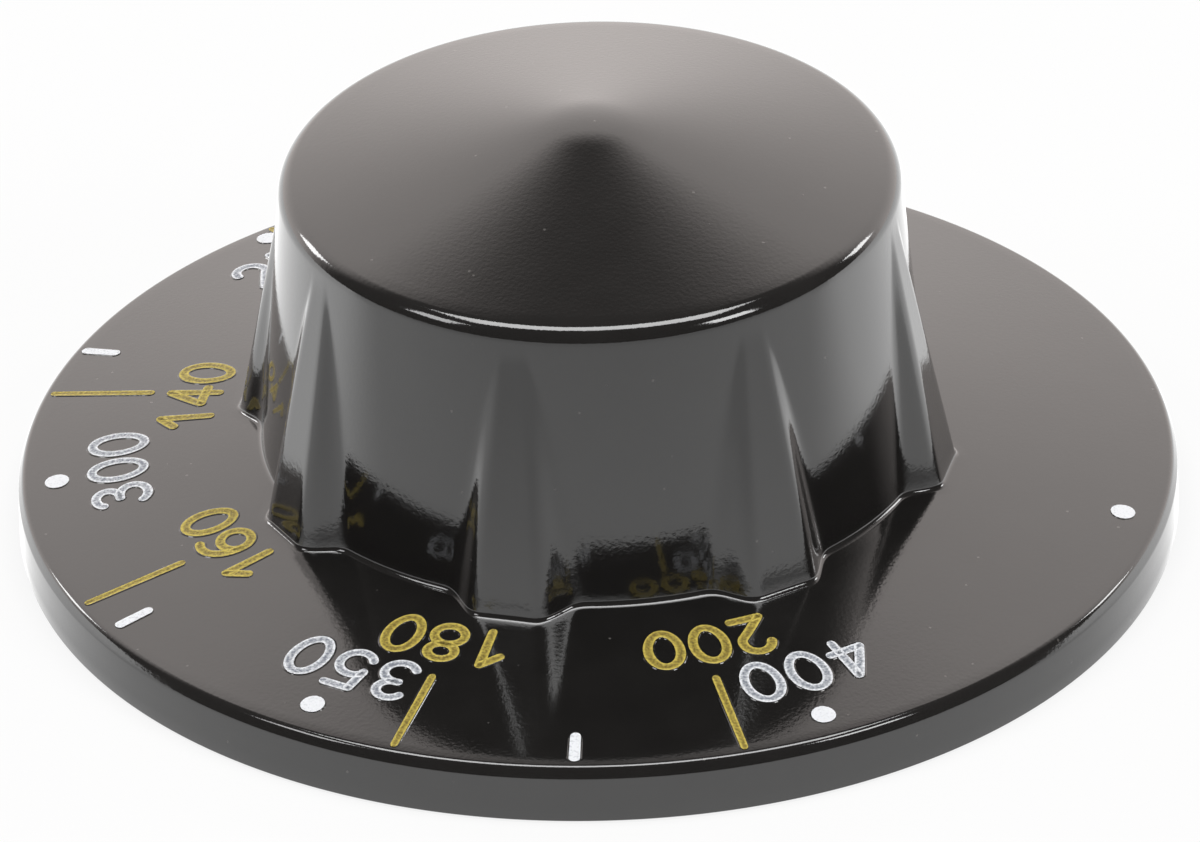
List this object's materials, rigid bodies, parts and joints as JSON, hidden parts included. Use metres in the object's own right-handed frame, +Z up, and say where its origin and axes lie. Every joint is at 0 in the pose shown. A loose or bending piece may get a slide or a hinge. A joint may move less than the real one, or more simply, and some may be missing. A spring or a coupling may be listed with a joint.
{
  "type": "fryer thermostat knob",
  "caption": "Round black control knob: a conical dial skirt marked with a temperature scale, a ribbed drum grip with a shallow pointed crown, and a D-shaped stem socket with a spring clip.",
  "frame": {"origin": "centre of the skirt's rim plane, on the stem axis", "axes": "+Z up the stem axis from the panel side to the crown, -Y towards the front from which the dial is shown, +X to the right and towards the flat of the stem socket"},
  "size_m": [0.0636, 0.0634, 0.0248],
  "materials": {
    "phenolic_black": "glossy moulded phenolic",
    "spring_steel": "bright tempered strip"
  },
  "bodies": {
    "root": {"knob_body": "phenolic_black", "shaft_clip": "spring_steel"}
  },
  "joints": []
}
